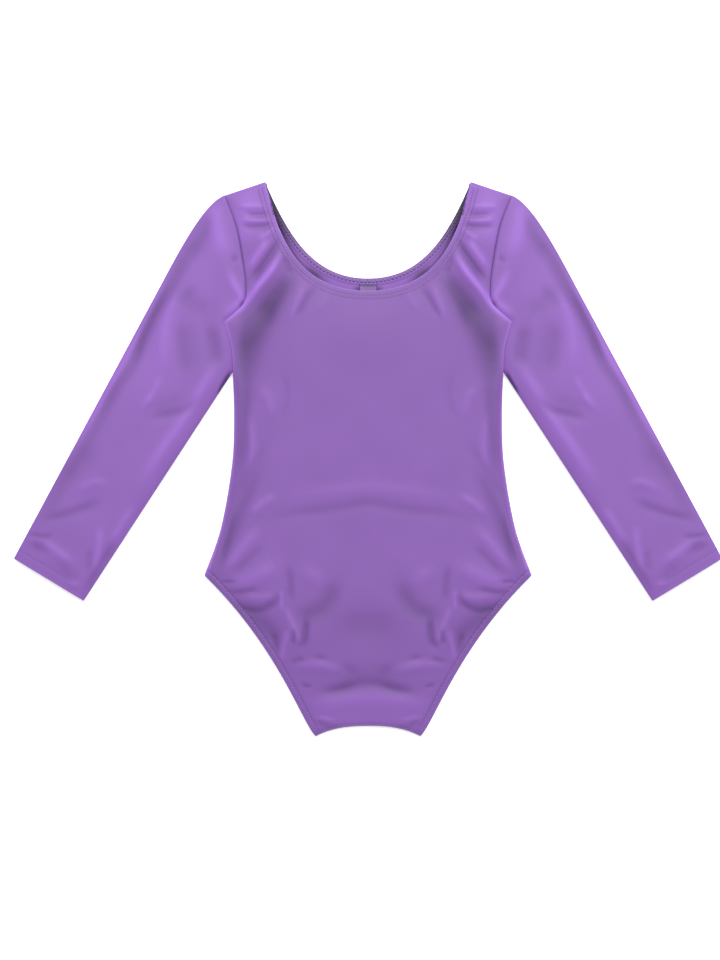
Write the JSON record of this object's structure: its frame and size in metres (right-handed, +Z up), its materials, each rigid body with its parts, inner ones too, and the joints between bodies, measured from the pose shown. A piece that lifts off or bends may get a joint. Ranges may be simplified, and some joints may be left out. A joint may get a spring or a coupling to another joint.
{
  "type": "gymnastics leotard",
  "caption": "Child's long-sleeved gymnastics leotard with a scoop neck and high-cut legs, laid flat; the sleeves fold over the body.",
  "frame": {"origin": "middle of the garment's outline, on the surface that its back panel lies on", "axes": "+Z up from the surface, out of the front of the garment; +Y towards the neck; +X towards the wearer's left sleeve"},
  "size_m": [0.6528, 0.511, 0.0153],
  "materials": {
    "fabric": "satin",
    "thread": "satin",
    "elastic": "matte",
    "label": "satin"
  },
  "bodies": {
    "torso": {"front_panel": "fabric", "back_panel": "fabric", "crotch_lining": "fabric", "neck_elastic": "elastic", "left_leg_elastic": "elastic", "right_leg_elastic": "elastic", "left_armhole_seam": "thread", "right_armhole_seam": "thread", "left_side_seam": "thread", "right_side_seam": "thread", "left_shoulder_seam": "thread", "right_shoulder_seam": "thread", "crotch_seam": "thread", "neck_topstitch": "thread", "left_leg_topstitch": "thread", "right_leg_topstitch": "thread", "neck_chainstitch": "thread", "size_label": "label", "left_sleeve_head": "fabric", "right_sleeve_head": "fabric", "left_underarm_seam": "thread", "right_underarm_seam": "thread"},
    "left_sleeve": {"left_sleeve": "fabric", "left_sleeve_seam": "thread", "left_cuff_topstitch": "thread"},
    "right_sleeve": {"right_sleeve": "fabric", "right_sleeve_seam": "thread", "right_cuff_topstitch": "thread"}
  },
  "joints": [
    {"name": "left_sleeve_fold", "type": "hinge", "parent": "torso", "child": "left_sleeve", "pos_m": [0.15086, 0.13124, 0.014], "axis": [0.087, -0.9962, 0], "range_deg": [0, 178]},
    {"name": "right_sleeve_fold", "type": "hinge", "parent": "torso", "child": "right_sleeve", "pos_m": [-0.15086, 0.13124, 0.014], "axis": [0.087, 0.9962, 0], "range_deg": [0, 178]}
  ]
}
